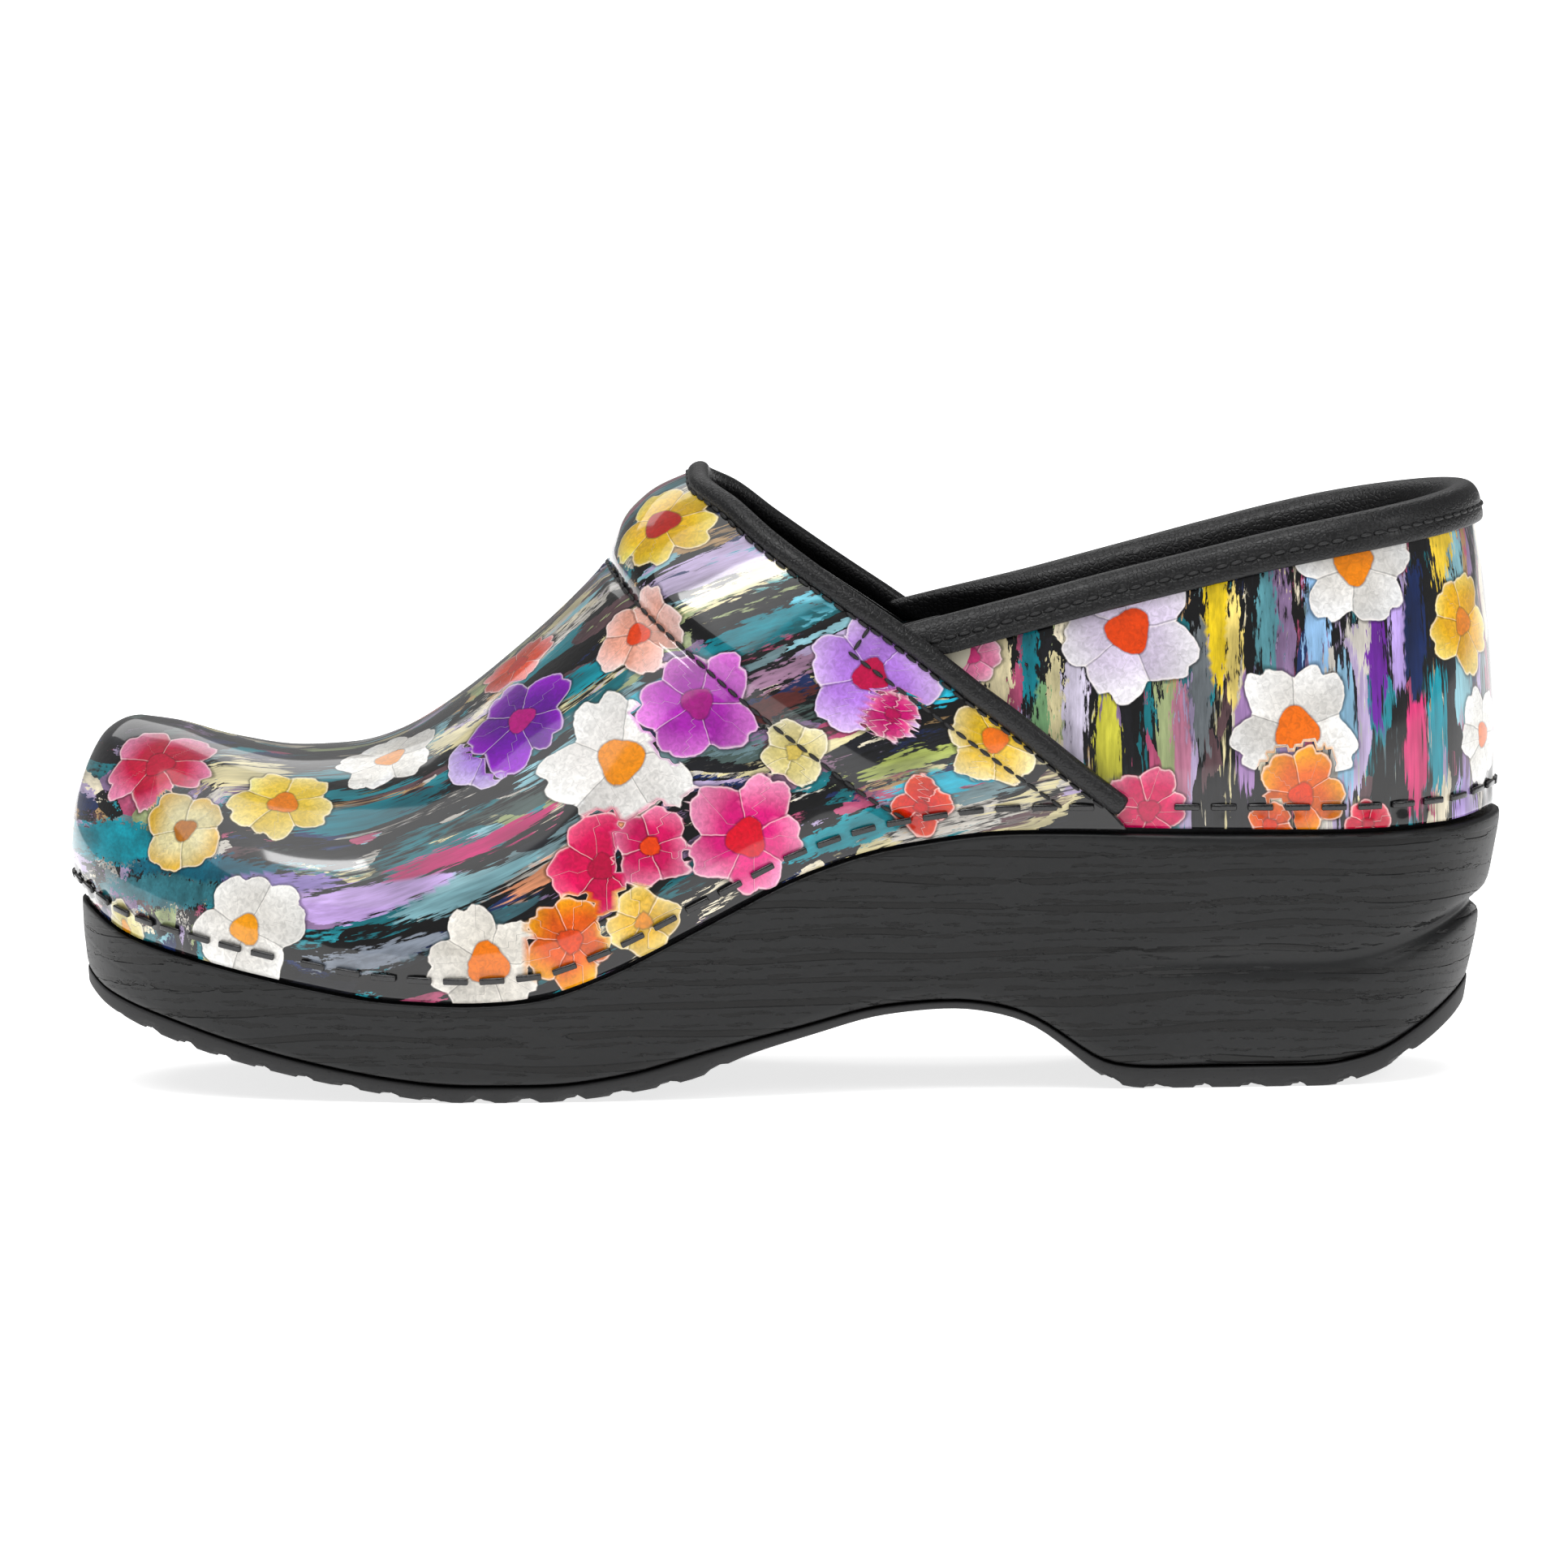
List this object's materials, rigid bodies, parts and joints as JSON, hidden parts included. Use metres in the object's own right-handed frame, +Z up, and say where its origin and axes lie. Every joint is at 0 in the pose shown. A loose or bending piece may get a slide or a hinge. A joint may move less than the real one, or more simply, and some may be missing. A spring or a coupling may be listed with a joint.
{
  "type": "stapled clog",
  "caption": "Left closed-back clog with a moulded wood-grain rocker sole, a printed patent leather upper held by staples, a rolled throat edge and a padded collar.",
  "frame": {"origin": "centre of the box on the floor, under the sole", "axes": "+X from toe to heel, -Y the outer side of the foot, +Z up"},
  "size_m": [0.2622, 0.1017, 0.1137],
  "materials": {
    "tread_rubber": "matte black moulded rubber",
    "moulded_sole": "charcoal moulded polyurethane with a wood-grain texture, satin",
    "frame_plastic": "black injection-moulded plastic, satin",
    "footbed_foam": "moulded foam and cork, matt",
    "sock_leather": "black leather, matt",
    "printed_leather": "patent leather with an all-over painted flower print, high gloss",
    "lining_leather": "black leather lining, matt",
    "black_leather": "black soft leather, satin",
    "stiffener": "pressed fibre board, matt",
    "foam": "soft foam, matt",
    "thread": "black waxed thread",
    "lacquered_steel": "black lacquered steel wire, satin"
  },
  "bodies": {
    "root": {"outsole": "tread_rubber", "sole_block": "moulded_sole", "inner_frame": "frame_plastic", "footbed": "footbed_foam", "sock_liner": "sock_leather", "vamp": "printed_leather", "vamp_lining": "lining_leather", "toe_puff": "stiffener", "instep_pad": "foam", "heel_quarter": "printed_leather", "quarter_lining": "lining_leather", "heel_counter": "stiffener", "collar_band": "black_leather", "collar_foam": "foam", "throat_binding": "black_leather", "binding_stitch": "thread", "vamp_stitch": "thread", "quarter_stitch_left": "thread", "quarter_stitch_right": "thread", "collar_stitch": "thread", "staples_toe_left": "lacquered_steel", "staples_toe_right": "lacquered_steel", "staples_vamp_left": "lacquered_steel", "staples_vamp_right": "lacquered_steel", "staples_heel_left": "lacquered_steel", "staples_heel_right": "lacquered_steel"}
  },
  "joints": []
}
